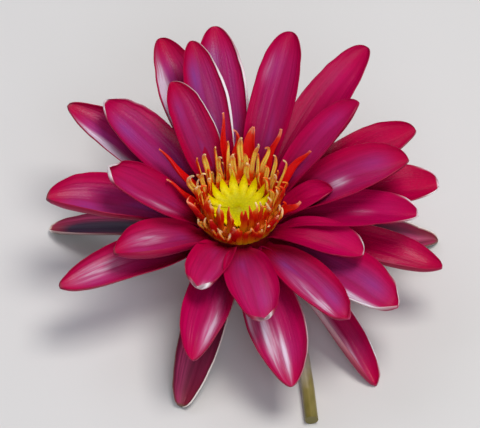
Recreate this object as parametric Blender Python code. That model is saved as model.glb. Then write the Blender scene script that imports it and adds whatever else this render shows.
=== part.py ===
"""Water lily: one open crimson bloom, picked, resting on its sepals, one outer petal and its short stem.

The bloom is built round its own axis, +Z up, in millimetres, with height 0 where the outermost petals grow.
An empty then carries every piece so that the surface it rests on is z = 0, under the middle of the bloom.
"""
import math
import random
from collections import namedtuple

import bmesh
import bpy
from mathutils import Vector

MM = 0.001

# The surface that the bloom rests on, below the outermost petals' roots, and the cut that flattens
# what rests on it, made by a slab of this size.
FLOOR = -20.5
REST_CUT = 0.3
SLAB = (400.0, 400.0, 10.0)
# Clear space between pieces that are seated on each other.
GAP = 0.3

# A blade is one petal, sepal or petaloid stamen. Heading is its compass angle round the bloom (0 at +X,
# 90 at +Y), the rises are its slope above level at root and tip, bend is how far it swings sideways from
# root to tip, roll tips its +side edge up, and cup is half the angle of its hollow cross-section. Peak is
# where it is widest, as a share of its length, and a smaller blunt makes its tip rounder.
Blade = namedtuple(
    "Blade",
    "heading rise_root rise_tip length width bend roll cup peak blunt",
    defaults=(0.587, 0.52),
)

INNER_PETALS = (
    Blade(-109, 42, -2, 35, 18, 0, 0, 55, blunt=0.42),
    Blade(-86, 35, -7, 48.5, 20, 14, 0, 50),
    Blade(-30, 36, -6, 40, 17, 0, 0, 45, blunt=0.45),
    Blade(-10, 30, 2, 55, 19, 0, 0, 45, blunt=0.42),
    Blade(1, 52, 22, 26, 13, 0, 0, 50),
    Blade(6, 41, 13, 55, 24, 0, 0, 45),
    Blade(29, 57, 33, 52, 17, 0, -8, 45),
    Blade(67, 58, 34, 61, 19, 6, 0, 45, blunt=0.45),
    Blade(109, 57, 32, 57, 18, 0, 0, 45),
    Blade(125, 62, 38, 46, 18, 0, 0, 45),
    Blade(-170, 50, 26, 46, 20, -26, 0, 50),
    Blade(-140, 36, 2, 42, 21, -22, 0, 50),
)
MIDDLE_PETALS = (
    Blade(-104, 20, -14, 54, 20, 0, 0, 55),
    Blade(-75, 10, -21, 60, 24, 0, 0, 55),
    Blade(-54, 27, -6, 55, 18, 0, 0, 50),
    Blade(-38, 18, -8.5, 60, 24, 0, 0, 48),
    Blade(-17, 12, -12, 64, 18, 0, 0, 48),
    Blade(4, 26, 1, 62, 23, 0, 0, 45, blunt=0.38),
    Blade(20, 36, 11, 61, 20, 0, 0, 45, blunt=0.45),
    Blade(45, 49, 24, 69, 20, 2, 0, 45, blunt=0.45),
    Blade(98, 46, 20, 63, 21, 0, 0, 45, blunt=0.56),
    Blade(147, 45, 20, 55, 21, 0, 0, 45),
    Blade(-176, 33, 5, 60, 24, 0, 0, 48),
    Blade(-146, 20, -9, 61, 20, -12, 0, 48, peak=0.5),
)
OUTER_PETALS = (
    Blade(116, 46, 22, 65, 21, 0, 0, 45),
    Blade(151, 36, 14, 65, 19, 0, 0, 45, blunt=0.6),
    Blade(-42.5, -8, -30, 66, 15.5, -16, 0, 50, peak=0.64),
)
SEPALS = (
    Blade(-107, 0, -30, 58.5, 18, 0, 0, 54, peak=0.42, blunt=0.36),
    Blade(7, -5, -27, 64, 17, 0, 0, 50),
    Blade(78, -4, -26, 62, 17, 0, 0, 50),
    Blade(172.5, -2, -28, 61, 14, -10, 12, 50, blunt=0.45),
)
RIBBON = {"peak": 0.3, "blunt": 0.9}
PETALOIDS = (
    Blade(155, 50, 40, 26, 4.0, 0, 0, 35, **RIBBON),
    Blade(174, 54, 44, 19, 3.0, 0, 0, 35, **RIBBON),
    Blade(-160, 60, 54, 16, 9.0, 0, 0, 50),
    Blade(-125, 62, 58, 15, 4.4, 0, 0, 40),
    Blade(-95, 62, 58, 15, 4.8, 0, 0, 40),
    Blade(-66, 62, 58, 15, 4.2, 0, 0, 40),
    Blade(-40, 60, 54, 15, 4.8, 0, 0, 40),
    Blade(-14, 56, 46, 15, 3.4, 0, 0, 40, **RIBBON),
    Blade(28, 55, 43, 24, 3.6, 0, 0, 35, **RIBBON),
    Blade(54, 64, 58, 25, 3.0, 0, 0, 35, **RIBBON),
    Blade(78, 64, 58, 22, 6.0, 0, 0, 35, peak=0.5, blunt=0.7),
    Blade(93, 64, 56, 21, 3.0, 0, 0, 35, **RIBBON),
    Blade(104, 66, 60, 28, 3.2, 0, 0, 35, **RIBBON),
)

# Where each whorl grows: radius and height of its roots, and how deep the roots are sunk.
ROOT_RADIUS = 14.0
INNER_ROOT, MIDDLE_ROOT, OUTER_ROOT, SEPAL_ROOT = 6.0, 3.0, 0.0, -5.5
ROOT_SINK = 4.5
PETALOID_RADIUS, PETALOID_ROOT, PETALOID_SINK = 13.9, 10.0, 1.2

# Form that all blades share: narrow and flatter at the root, tip curled up and more hollow.
ROOT_SHARE, ROOT_TAPER, TIP_HALF = 0.42, 1.2, 1.0
TIP_CURL, TIP_CURL_FROM = 12.0, 0.8
TIP_CUP, TIP_CUP_FROM = 0.4, 0.6
ROOT_CUP, ROOT_CUP_TO = 0.4, 0.25
ROLL_FULL_AT = 0.5
SPINE_STEPS = 60
PETAL_THICKNESS, PETAL_COLUMNS = 1.0, 4
PETAL_STATIONS = (0.0, 0.1, 0.26, 0.44, 0.62, 0.78, 0.92, 1.0)
PETALOID_THICKNESS, PETALOID_COLUMNS = 0.8, 2
PETALOID_STATIONS = (0.0, 0.3, 0.65, 0.88, 1.0)

# Turned bodies that hold the blades and stamens, as profiles of (radius, height). Each sits on the one below.
RECEPTACLE_LOW, RECEPTACLE_HIGH = -4.0, 7.9
CALYX_LOW, CALYX_HIGH = -8.6, RECEPTACLE_LOW - GAP
SEAT = RECEPTACLE_HIGH + GAP
PETALOID_HIGH = 10.2
STAMEN_LOW = PETALOID_HIGH + GAP
RECEPTACLE = (
    (0.0, RECEPTACLE_LOW), (11.0, RECEPTACLE_LOW), (13.4, -1.5), (14.4, 3.0),
    (14.7, RECEPTACLE_HIGH), (0.0, RECEPTACLE_HIGH),
)
CALYX = ((0.0, CALYX_LOW), (5.0, CALYX_LOW), (11.6, -6.4), (12.2, CALYX_HIGH), (0.0, CALYX_HIGH))
PETALOID_RING = ((10.5, SEAT), (14.5, SEAT), (14.5, PETALOID_HIGH), (10.5, PETALOID_HIGH))
STAMEN_RING = ((10.4, STAMEN_LOW), (13.4, STAMEN_LOW), (13.2, 12.4), (10.6, 12.6))
DISC = (
    (0.0, SEAT), (10.0, SEAT), (10.1, 12.2), (9.6, 12.9),
    (8.0, 12.3), (5.0, 11.3), (2.0, 11.0), (1.3, 12.0), (0.0, 12.2),
)
TURN_SIDES = 32

# Rays of the stigma disc: pointed flaps that rise and lean out from its rim.
RAYS, RAY_ROOT_RADIUS, RAY_ROOT_HEIGHT = 16, 9.0, 12.0
RAY_LENGTH, RAY_SHORTER, RAY_WIDTH, RAY_THICKNESS = 6.4, 0.9, 3.2, 1.0
RAY_LEAN_ROOT, RAY_LEAN_TIP = 34.0, 4.0
RAY_STATIONS = ((0.0, 1.0), (0.45, 0.9), (0.8, 0.5), (1.0, 0.2))

# Stamens in three rings: ring radius, number, length, lean outward at root and at tip, hook of the tip.
StamenRing = namedtuple("StamenRing", "radius count length lean_root lean_tip hook")
STAMEN_RINGS = (
    StamenRing(11.3, 14, 11.0, 12, 0, 75),
    StamenRing(12.0, 18, 14.5, 18, 8, 60),
    StamenRing(12.7, 21, 18.5, 22, 14, 45),
)
STAMEN_ROOT, STAMEN_WIDTH, STAMEN_THICKNESS = 11.6, 2.0, 0.8
STAMEN_STATIONS = ((0.0, 1.0), (0.3, 0.95), (0.6, 0.9), (0.84, 0.65), (0.93, 0.5), (1.0, 0.35))
# The seeded draw that scatters the stamens: at most these degrees, and this share of their length.
STAMEN_SEED = 11
SCATTER_HEADING, SCATTER_LEAN, SCATTER_LENGTH, SCATTER_HOOK, SCATTER_SWAY = 3.0, 3.0, 0.12, 35.0, 14.0

# A strap is one stamen or one ray of the disc. Where its hook starts, its least width and thickness,
# and how much its thickness follows its width.
Strap = namedtuple("Strap", "heading lean_root lean_tip length hook sway")
HOOK_FROM = 0.8
STRAP_STEPS = 40
STRAP_LEAST, STRAP_FOLLOWS = 0.6, 0.4

# The stem lies on a flat side. Its centre line runs down from the calyx, round under the bloom and out
# along the surface.
STEM_RADIUS = 2.4
STEM_STEPS, STEM_SIDES = 4, 12
STEM_LEVEL = FLOOR + STEM_RADIUS * math.cos(math.pi / STEM_SIDES)
STEM_LINE = (
    (0.0, 0.0, CALYX_LOW - GAP),
    (0.6, -0.9, -13.1),
    (2.4, -3.5, -16.2),
    (4.8, -6.9, STEM_LEVEL),
    (12.5, -18.0, STEM_LEVEL),
    (21.6, -37.0, STEM_LEVEL),
    (24.7, -56.0, STEM_LEVEL),
    (26.4, -74.0, STEM_LEVEL),
)

# Edges that bend more than this many degrees are shaded sharp.
SHARP_FROM = 40.0

# Names, colours and finishes of the materials.
FINISHES = {
    "petals": ((0.50, 0.004, 0.085), 0.38),
    "sepals": ((0.22, 0.16, 0.08), 0.5),
    "petaloid_stamens": ((0.62, 0.02, 0.012), 0.42),
    "stamens": ((0.80, 0.26, 0.03), 0.45),
    "stigma_disc": ((0.72, 0.58, 0.01), 0.4),
    "stem": ((0.27, 0.17, 0.12), 0.55),
}


def clear_scene():
    for thing in list(bpy.data.objects):
        bpy.data.objects.remove(thing, do_unlink=True)


def finish(name):
    """The piece's own material."""
    colour, roughness = FINISHES[name]
    made = bpy.data.materials.new(name)
    made.use_nodes = True
    surface = made.node_tree.nodes["Principled BSDF"]
    surface.inputs["Base Color"].default_value = (*colour, 1.0)
    surface.inputs["Roughness"].default_value = roughness
    surface.inputs["Metallic"].default_value = 0.0
    return made


def object_from(name, bm):
    """Turns a bmesh in millimetres into a linked object in metres."""
    bmesh.ops.scale(bm, vec=(MM, MM, MM), verts=bm.verts)
    bmesh.ops.recalc_face_normals(bm, faces=bm.faces)
    mesh = bpy.data.meshes.new(name)
    bm.to_mesh(mesh)
    bm.free()
    made = bpy.data.objects.new(name, mesh)
    bpy.context.scene.collection.objects.link(made)
    return made


def apply_modifiers(thing):
    """Swaps the object's mesh for its evaluated one."""
    seen = thing.evaluated_get(bpy.context.evaluated_depsgraph_get())
    mesh = bpy.data.meshes.new_from_object(seen)
    thing.modifiers.clear()
    spare, thing.data = thing.data, mesh
    bpy.data.meshes.remove(spare)


def fuse(base, pieces):
    """Joins the pieces to the base as one closed body."""
    group = bpy.data.collections.new(base.name + "_pieces")
    for piece in pieces:
        group.objects.link(piece)
    union = base.modifiers.new("fuse", "BOOLEAN")
    union.operation = "UNION"
    union.solver = "EXACT"
    union.operand_type = "COLLECTION"
    union.collection = group
    apply_modifiers(base)
    for piece in pieces:
        bpy.data.objects.remove(piece, do_unlink=True)
    bpy.data.collections.remove(group)


def flatten_rest(thing):
    """Cuts off what lies below the surface, which leaves the flat spots that the piece rests on."""
    bm = bmesh.new()
    bmesh.ops.create_cube(bm, size=1.0)
    bmesh.ops.scale(bm, vec=SLAB, verts=bm.verts)
    bmesh.ops.translate(bm, vec=(0.0, 0.0, FLOOR - 0.5 * SLAB[2]), verts=bm.verts)
    slab = object_from(thing.name + "_rest_cutter", bm)
    slab.hide_render = True
    slab.display_type = "WIRE"
    cut = thing.modifiers.new("rest", "BOOLEAN")
    cut.operation = "DIFFERENCE"
    cut.solver = "EXACT"
    cut.object = slab
    apply_modifiers(thing)
    bpy.data.objects.remove(slab, do_unlink=True)


def turned(name, profile):
    """A body turned round the bloom's axis."""
    bm = bmesh.new()
    rim = [bm.verts.new((radius, 0.0, height)) for radius, height in profile]
    for first, second in zip(rim, rim[1:]):
        bm.edges.new((first, second))
    if profile[0][0] > 0:
        bm.edges.new((rim[-1], rim[0]))
    bmesh.ops.spin(
        bm, geom=bm.verts[:] + bm.edges[:], cent=(0, 0, 0), axis=(0, 0, 1), dvec=(0, 0, 0),
        angle=math.tau, steps=TURN_SIDES, use_merge=True, use_duplicate=False,
    )
    bmesh.ops.remove_doubles(bm, verts=bm.verts, dist=0.001)
    return object_from(name, bm)


def ease(x):
    x = min(max(x, 0.0), 1.0)
    return x * x * (3.0 - 2.0 * x)


def spine(blade, root_radius, root_height, sink, thickness):
    """Points down the middle of a blade, each with its share of the length, place, side and upward normal."""
    step = blade.length / SPINE_STEPS
    heading = math.radians(blade.heading)
    outward = Vector((math.cos(heading), math.sin(heading), 0.0))
    place = outward * root_radius + Vector((0.0, 0.0, root_height))
    lowest = FLOOR + thickness - REST_CUT
    places = [place]
    for k in range(SPINE_STEPS):
        share = (k + 0.5) / SPINE_STEPS
        curl = TIP_CURL * ease((share - TIP_CURL_FROM) / (1.0 - TIP_CURL_FROM))
        rise = math.radians(blade.rise_root + (blade.rise_tip - blade.rise_root) * share + curl)
        turn = math.radians(blade.heading + blade.bend * share)
        flat = Vector((math.cos(turn), math.sin(turn), 0.0))
        place = place + (flat * math.cos(rise) + Vector((0.0, 0.0, math.sin(rise)))) * step
        place.z = max(place.z, lowest)
        places.append(place)
    rows = []
    for k, place in enumerate(places):
        share = k / SPINE_STEPS
        ahead = (places[min(k + 1, SPINE_STEPS)] - places[max(k - 1, 0)]).normalized()
        turn = math.radians(blade.heading + blade.bend * share)
        side = Vector((-math.sin(turn), math.cos(turn), 0.0))
        side = (side - ahead * side.dot(ahead)).normalized()
        normal = ahead.cross(side)
        roll = math.radians(blade.roll) * ease(share / ROLL_FULL_AT)
        rows.append((share, place, side * math.cos(roll) + normal * math.sin(roll),
                     normal * math.cos(roll) - side * math.sin(roll)))
    back = (places[0] - places[1]).normalized() * sink
    rows.insert(0, (-sink / blade.length, places[0] + back, rows[0][2], rows[0][3]))
    return rows


def half_width(blade, share):
    """Half of the blade's width along its surface, at a share of its length."""
    share = min(max(share, 0.0), 1.0)
    q = share ** (math.log(0.5) / math.log(blade.peak))
    body = (4.0 * q * (1.0 - q)) ** blade.blunt
    root = ROOT_SHARE * (1.0 - share) ** ROOT_TAPER
    return max(0.5 * blade.width * max(body, root), TIP_HALF)


def blade_point(blade, rows, share, across):
    """A point of the blade's upper face, and its normal, across from -1 to 1."""
    k = 1
    while k < len(rows) - 1 and rows[k][0] < share:
        k += 1
    before, after = rows[k - 1], rows[k]
    mix = (share - before[0]) / (after[0] - before[0])
    place, side, normal = (before[i].lerp(after[i], mix) for i in (1, 2, 3))
    half = half_width(blade, share)
    hollow = math.radians(blade.cup) * (ROOT_CUP + (1.0 - ROOT_CUP) * ease(share / ROOT_CUP_TO))
    hollow *= 1.0 + TIP_CUP * ease((share - TIP_CUP_FROM) / (1.0 - TIP_CUP_FROM))
    angle = hollow * across
    radius = half / hollow
    point = place + side * (radius * math.sin(angle)) + normal * (radius * (1.0 - math.cos(angle)))
    return point, (normal * math.cos(angle) - side * math.sin(angle)).normalized()


def blade_body(name, blade, root_radius, root_height, sink, thickness, stations, columns):
    """A closed blade, its two faces split into triangles alike."""
    rows = spine(blade, root_radius, root_height, sink, thickness)
    shares = (rows[0][0],) + stations
    bm = bmesh.new()
    layers = []
    for depth in (0.0, thickness):
        layer = []
        for share in shares:
            line = []
            for c in range(columns + 1):
                point, normal = blade_point(blade, rows, share, 2.0 * c / columns - 1.0)
                line.append(bm.verts.new(point - normal * depth))
            layer.append(line)
        layers.append(layer)
    top, under = layers
    for r in range(len(shares) - 1):
        for c in range(columns):
            corners = ((r, c), (r, c + 1), (r + 1, c + 1), (r + 1, c))
            # Each half of the blade is split the same way, mirrored about the midrib.
            order = (0, 1, 2, 3) if c < columns // 2 else (1, 2, 3, 0)
            ring = [corners[i] for i in order]
            for a, b, d in ((0, 1, 2), (0, 2, 3)):
                bm.faces.new([top[ring[i][0]][ring[i][1]] for i in (a, b, d)])
                bm.faces.new([under[ring[i][0]][ring[i][1]] for i in (d, b, a)])
    last = len(shares) - 1
    rim = [(0, c) for c in range(columns)]
    rim += [(r, columns) for r in range(last)]
    rim += [(last, c) for c in range(columns, 0, -1)]
    rim += [(r, 0) for r in range(last, 0, -1)]
    for (r1, c1), (r2, c2) in zip(rim, rim[1:] + rim[:1]):
        bm.faces.new((top[r1][c1], under[r1][c1], under[r2][c2]))
        bm.faces.new((top[r1][c1], under[r2][c2], top[r2][c2]))
    return object_from(name, bm)


def whorl(name, blades, root_height):
    return [
        blade_body(f"{name}_{k}", blade, ROOT_RADIUS, root_height, ROOT_SINK, PETAL_THICKNESS,
                   PETAL_STATIONS, PETAL_COLUMNS)
        for k, blade in enumerate(blades)
    ]


def strap_body(name, stations):
    """A closed strap of four sides through stations of (place, side, normal, width, thickness)."""
    bm = bmesh.new()
    rings = []
    for place, side, normal, width, thickness in stations:
        across, through = side * (0.5 * width), normal * (0.5 * thickness)
        corners = (across + through, through - across, -across - through, across - through)
        rings.append([bm.verts.new(place + corner) for corner in corners])
    for low, high in zip(rings, rings[1:]):
        for k in range(4):
            bm.faces.new((low[k], low[(k + 1) % 4], high[(k + 1) % 4], high[k]))
    bm.faces.new(rings[0][::-1])
    bm.faces.new(rings[-1])
    return object_from(name, bm)


def strap_stations(place, strap, profile, width, thickness):
    """Stations of a strap that rises from a place, leaning outward, with a hook inward at its tip."""
    stations = []
    points = [place]
    frames = []
    for k in range(STRAP_STEPS):
        share = (k + 0.5) / STRAP_STEPS
        lean = strap.lean_root + (strap.lean_tip - strap.lean_root) * share
        lean -= strap.hook * ease((share - HOOK_FROM) / (1.0 - HOOK_FROM))
        turn = math.radians(strap.heading + strap.sway * share * share)
        tilt = math.radians(lean)
        outward = Vector((math.cos(turn), math.sin(turn), 0.0))
        along = outward * math.sin(tilt) + Vector((0.0, 0.0, math.cos(tilt)))
        frames.append((Vector((-math.sin(turn), math.cos(turn), 0.0)), along))
        points.append(points[-1] + along * (strap.length / STRAP_STEPS))
    for share, narrowing in profile:
        k = round(share * STRAP_STEPS)
        side, along = frames[min(k, STRAP_STEPS - 1)]
        slim = max(thickness * (1.0 - STRAP_FOLLOWS + STRAP_FOLLOWS * narrowing), STRAP_LEAST)
        stations.append((points[k], side, side.cross(along), max(width * narrowing, STRAP_LEAST), slim))
    return stations


def round_place(heading, radius, height):
    turn = math.radians(heading)
    return Vector((math.cos(turn) * radius, math.sin(turn) * radius, height))


def stamens():
    """Filaments in three rings, scattered a little by a seeded draw."""
    draw = random.Random(STAMEN_SEED)
    made = []
    for ring in STAMEN_RINGS:
        for k in range(ring.count):
            heading = 360.0 * k / ring.count + draw.uniform(-1, 1) * SCATTER_HEADING
            lean = draw.uniform(-1, 1) * SCATTER_LEAN
            length = ring.length * (1.0 + draw.uniform(-1, 1) * SCATTER_LENGTH)
            hook = ring.hook + draw.uniform(-1, 1) * SCATTER_HOOK
            sway = draw.uniform(-1, 1) * SCATTER_SWAY
            strap = Strap(heading, ring.lean_root + lean, ring.lean_tip + lean, length, hook, sway)
            place = round_place(heading, ring.radius, STAMEN_ROOT)
            stations = strap_stations(place, strap, STAMEN_STATIONS, STAMEN_WIDTH, STAMEN_THICKNESS)
            made.append(strap_body(f"stamen_{len(made)}", stations))
    return made


def rays():
    """Pointed flaps round the stigma disc, long and short by turns."""
    made = []
    for k in range(RAYS):
        length = RAY_LENGTH * (1.0 if k % 2 == 0 else RAY_SHORTER)
        strap = Strap(360.0 * k / RAYS, RAY_LEAN_ROOT, RAY_LEAN_TIP, length, 0.0, 0.0)
        place = round_place(strap.heading, RAY_ROOT_RADIUS, RAY_ROOT_HEIGHT)
        stations = strap_stations(place, strap, RAY_STATIONS, RAY_WIDTH, RAY_THICKNESS)
        made.append(strap_body(f"ray_{k}", stations))
    return made


def stem_path():
    """Points down the stem, smooth through the points of its line."""
    knots = [Vector(place) for place in STEM_LINE]
    # The mirrored knot above the start makes the stem leave the calyx straight down.
    before = Vector((knots[1].x, knots[1].y, 2.0 * knots[0].z - knots[1].z))
    after = knots[-1] * 2.0 - knots[-2]
    knots = [before] + knots + [after]
    points = []
    for k in range(1, len(knots) - 2):
        a, b, c, d = knots[k - 1:k + 3]
        for j in range(STEM_STEPS):
            x = j / STEM_STEPS
            point = 0.5 * (2.0 * b + (c - a) * x + (2.0 * a - 5.0 * b + 4.0 * c - d) * x * x
                           + (3.0 * b - a - 3.0 * c + d) * x ** 3)
            point.z = max(point.z, STEM_LEVEL)
            points.append(point)
    points.append(knots[-2])
    return points


def stem():
    """A round stalk bent along its line, with a cut end."""
    points = stem_path()
    bm = bmesh.new()
    rings = []
    for k, point in enumerate(points):
        ahead = (points[min(k + 1, len(points) - 1)] - points[max(k - 1, 0)]).normalized()
        side = Vector((ahead.y, -ahead.x, 0.0)).normalized()
        if k == 0:
            ahead = Vector((0.0, 0.0, -1.0))
        other = ahead.cross(side)
        ring = []
        for j in range(STEM_SIDES):
            turn = math.tau * (j + 0.5) / STEM_SIDES
            spoke = side * math.cos(turn) + other * math.sin(turn)
            ring.append(bm.verts.new(point + spoke * STEM_RADIUS))
        rings.append(ring)
    for low, high in zip(rings, rings[1:]):
        for j in range(STEM_SIDES):
            bm.faces.new((low[j], low[(j + 1) % STEM_SIDES], high[(j + 1) % STEM_SIDES], high[j]))
    bm.faces.new(rings[0])
    bm.faces.new(rings[-1])
    return object_from("stem", bm)


def build():
    clear_scene()
    petals = turned("petals", RECEPTACLE)
    fuse(petals, whorl("inner", INNER_PETALS, INNER_ROOT) + whorl("middle", MIDDLE_PETALS, MIDDLE_ROOT)
         + whorl("outer", OUTER_PETALS, OUTER_ROOT))
    sepals = turned("sepals", CALYX)
    fuse(sepals, whorl("sepal", SEPALS, SEPAL_ROOT))
    for resting in (petals, sepals):
        flatten_rest(resting)
    petaloid_stamens = turned("petaloid_stamens", PETALOID_RING)
    fuse(petaloid_stamens, [
        blade_body(f"petaloid_{k}", blade, PETALOID_RADIUS, PETALOID_ROOT, PETALOID_SINK, PETALOID_THICKNESS,
                   PETALOID_STATIONS, PETALOID_COLUMNS)
        for k, blade in enumerate(PETALOIDS)
    ])
    stamen_crown = turned("stamens", STAMEN_RING)
    fuse(stamen_crown, stamens())
    stigma_disc = turned("stigma_disc", DISC)
    fuse(stigma_disc, rays())
    pieces = [petals, sepals, petaloid_stamens, stamen_crown, stigma_disc, stem()]
    for piece in pieces:
        piece.data.materials.clear()
        piece.data.materials.append(finish(piece.name))
        piece.data.shade_smooth()
        piece.data.set_sharp_from_angle(angle=math.radians(SHARP_FROM))
    carry(pieces)


def carry(pieces):
    """Puts every piece on an empty that sets the bloom over the origin, on the surface."""
    bpy.context.view_layer.update()
    corners = [piece.matrix_world @ Vector(corner) for piece in pieces for corner in piece.bound_box]
    low = [min(corner[axis] for corner in corners) for axis in range(3)]
    high = [max(corner[axis] for corner in corners) for axis in range(3)]
    carrier = bpy.data.objects.new("bloom", None)
    bpy.context.scene.collection.objects.link(carrier)
    carrier.location = (-0.5 * (low[0] + high[0]), -0.5 * (low[1] + high[1]), -low[2])
    for piece in pieces:
        piece.parent = carrier


build()
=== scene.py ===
"""Looks of the water lily: petals, sepals, stamens, stigma disc and stem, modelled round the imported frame."""

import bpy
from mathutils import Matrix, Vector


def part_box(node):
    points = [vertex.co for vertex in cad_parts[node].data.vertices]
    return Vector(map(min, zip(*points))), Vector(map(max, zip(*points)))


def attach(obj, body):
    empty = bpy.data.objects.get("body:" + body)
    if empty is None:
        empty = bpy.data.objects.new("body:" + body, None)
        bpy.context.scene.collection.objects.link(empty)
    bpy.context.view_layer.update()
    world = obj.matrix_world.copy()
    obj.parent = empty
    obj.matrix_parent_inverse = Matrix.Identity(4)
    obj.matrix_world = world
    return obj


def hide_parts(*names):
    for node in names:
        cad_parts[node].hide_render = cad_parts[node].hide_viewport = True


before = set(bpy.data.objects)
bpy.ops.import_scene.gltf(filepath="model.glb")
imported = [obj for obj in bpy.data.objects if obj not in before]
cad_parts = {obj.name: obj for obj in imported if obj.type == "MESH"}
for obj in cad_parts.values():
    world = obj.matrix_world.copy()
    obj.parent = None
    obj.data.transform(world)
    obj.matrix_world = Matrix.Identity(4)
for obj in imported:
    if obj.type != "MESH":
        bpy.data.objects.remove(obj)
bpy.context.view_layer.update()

import math
import random
from collections import namedtuple

import bmesh
import bpy
from mathutils import Vector, noise

# Lengths below are in millimetres, in the bloom's own frame: its axis is +Z, height 0 is where the outermost
# petals grow, SEAT the underside of the stigma disc and FLOOR what the bloom rests on. MM and BLOOM turn them to
# the row frame's metres.
MM = 0.001
SEAT = 8.2
FLOOR = -20.5
disc_low, disc_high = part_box("stigma_disc")
BLOOM = Vector((0.5 * (disc_low.x + disc_high.x), 0.5 * (disc_low.y + disc_high.y), disc_low.z - SEAT * MM))

# A soft spot on a blade: how far across from -1 to 1, share of its length, width and length, strength.
Spot = namedtuple("Spot", "across share wide long strength")

# A blade is one petal, sepal or petaloid stamen. Heading is its compass angle round the bloom (0 at +X,
# 90 at +Y), the rises are its slope above level at root and tip, bend is how far it swings sideways from
# root to tip, roll tips its +side edge up, and cup is half the angle of its hollow cross-section.
# Peak is where it is widest, a smaller blunt makes a rounder tip, and hook curls the last of the tip up.
# Plus and minus roll that margin further in, in degrees, or flatten it where they are negative. Lip_plus and
# lip_minus turn over its outermost edge. Tuck_plus and tuck_minus flatten it near the root, under a neighbour.
# Wave swings a narrow one from side to side, in millimetres, and twist turns it. Creases are grooves, with
# their depth in millimetres as strength. Violet is how strong the violet of its middle is, which in a petal is
# partly its own colour and partly a painted reflection of blue sky. Painted_highlights are its painted highlights,
# streaked pale spots, fleck is how withered its very tip is, and rims are where its margins are pale,
# partly their own pale edge and partly painted glints.
Blade = namedtuple(
    "Blade",
    "heading rise_root rise_tip length width bend roll cup peak blunt hook plus minus lip_plus lip_minus"
    " tuck_plus tuck_minus wave twist creases violet satin fleck rims",
    defaults=(0.587, 0.52, 0, 0, 0, 0, 0, 0, 0, 0, 0, (), 0.5, (), 0, ()),
)

INNER_PETALS = (
    Blade(-109, 42, -2, 35, 18, 0, 0, 55, blunt=0.42, hook=60, fleck=0.7, violet=0.3,
          rims=(Spot(0.5, 1, 1, 0.05, 1.5),),
          satin=(Spot(0.3, 0.93, 0.35, 0.09, 0.7), Spot(0.4, 0.5, 0.2, 0.2, 0.2))),
    Blade(-86, 35, -7, 48.5, 20, 14, 0, 50, hook=70, fleck=0.8, violet=0.5,
          rims=(Spot(0.5, 1, 1, 0.03, 1.5),),
          satin=(Spot(-0.1, 0.96, 0.4, 0.05, 0.4),), creases=(Spot(-0.5, 0.55, 0.12, 0.3, 0.5),)),
    Blade(-30, 36, -6, 40, 17, 0, 0, 45, blunt=0.45, violet=0.0, rims=(Spot(1, 0.97, 0.6, 0.07, 1),)),
    Blade(-10, 30, 2, 55, 19, 0, 0, 45, blunt=0.42, violet=0.1, rims=(Spot(0.5, 1.0, 1.2, 0.08, 3),),
          satin=(Spot(0.1, 0.62, 0.14, 0.08, 0.35),)),
    Blade(1, 52, 22, 26, 13, 0, 0, 50, violet=0.0),
    Blade(6, 41, 13, 55, 24, 0, 0, 45, violet=0.6, satin=(Spot(0.0, 0.5, 0.2, 0.09, 0.6),)),
    Blade(29, 57, 33, 52, 17, 0, -8, 45, violet=0.4, creases=(Spot(-0.1, 0.5, 0.1, 0.3, 0.6),)),
    Blade(67, 58, 34, 61, 19, 6, 0, 45, blunt=0.45, violet=0.5, satin=(Spot(0.6, 0.75, 0.2, 0.1, 0.35),),
          creases=(Spot(0.15, 0.45, 0.1, 0.3, 0.6),)),
    Blade(109, 57, 32, 57, 18, 0, 0, 45, lip_minus=140, tuck_plus=60, violet=1.1,
          rims=(Spot(-1, 0.55, 0.5, 0.35, 1.2),)),
    Blade(125, 62, 38, 46, 18, 0, 0, 45, lip_minus=60, violet=0.7, rims=(Spot(-1, 0.6, 0.5, 0.35, 0.8),),
          creases=(Spot(0.35, 0.6, 0.1, 0.3, 0.5),)),
    Blade(-170, 50, 26, 46, 20, -26, 0, 50, hook=60, fleck=0.4, violet=0.4, lip_minus=30,
          rims=(Spot(0, 1, 2, 0.05, 1.2),),
          satin=(Spot(0.35, 0.5, 0.16, 0.18, 0.5),), creases=(Spot(0.55, 0.55, 0.1, 0.3, 0.5),)),
    Blade(-140, 36, 2, 42, 21, -22, 0, 50, plus=50, lip_plus=40, fleck=0.6, violet=0.5,
          satin=(Spot(-0.3, 0.66, 0.3, 0.22, 0.4),)),
)
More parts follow.
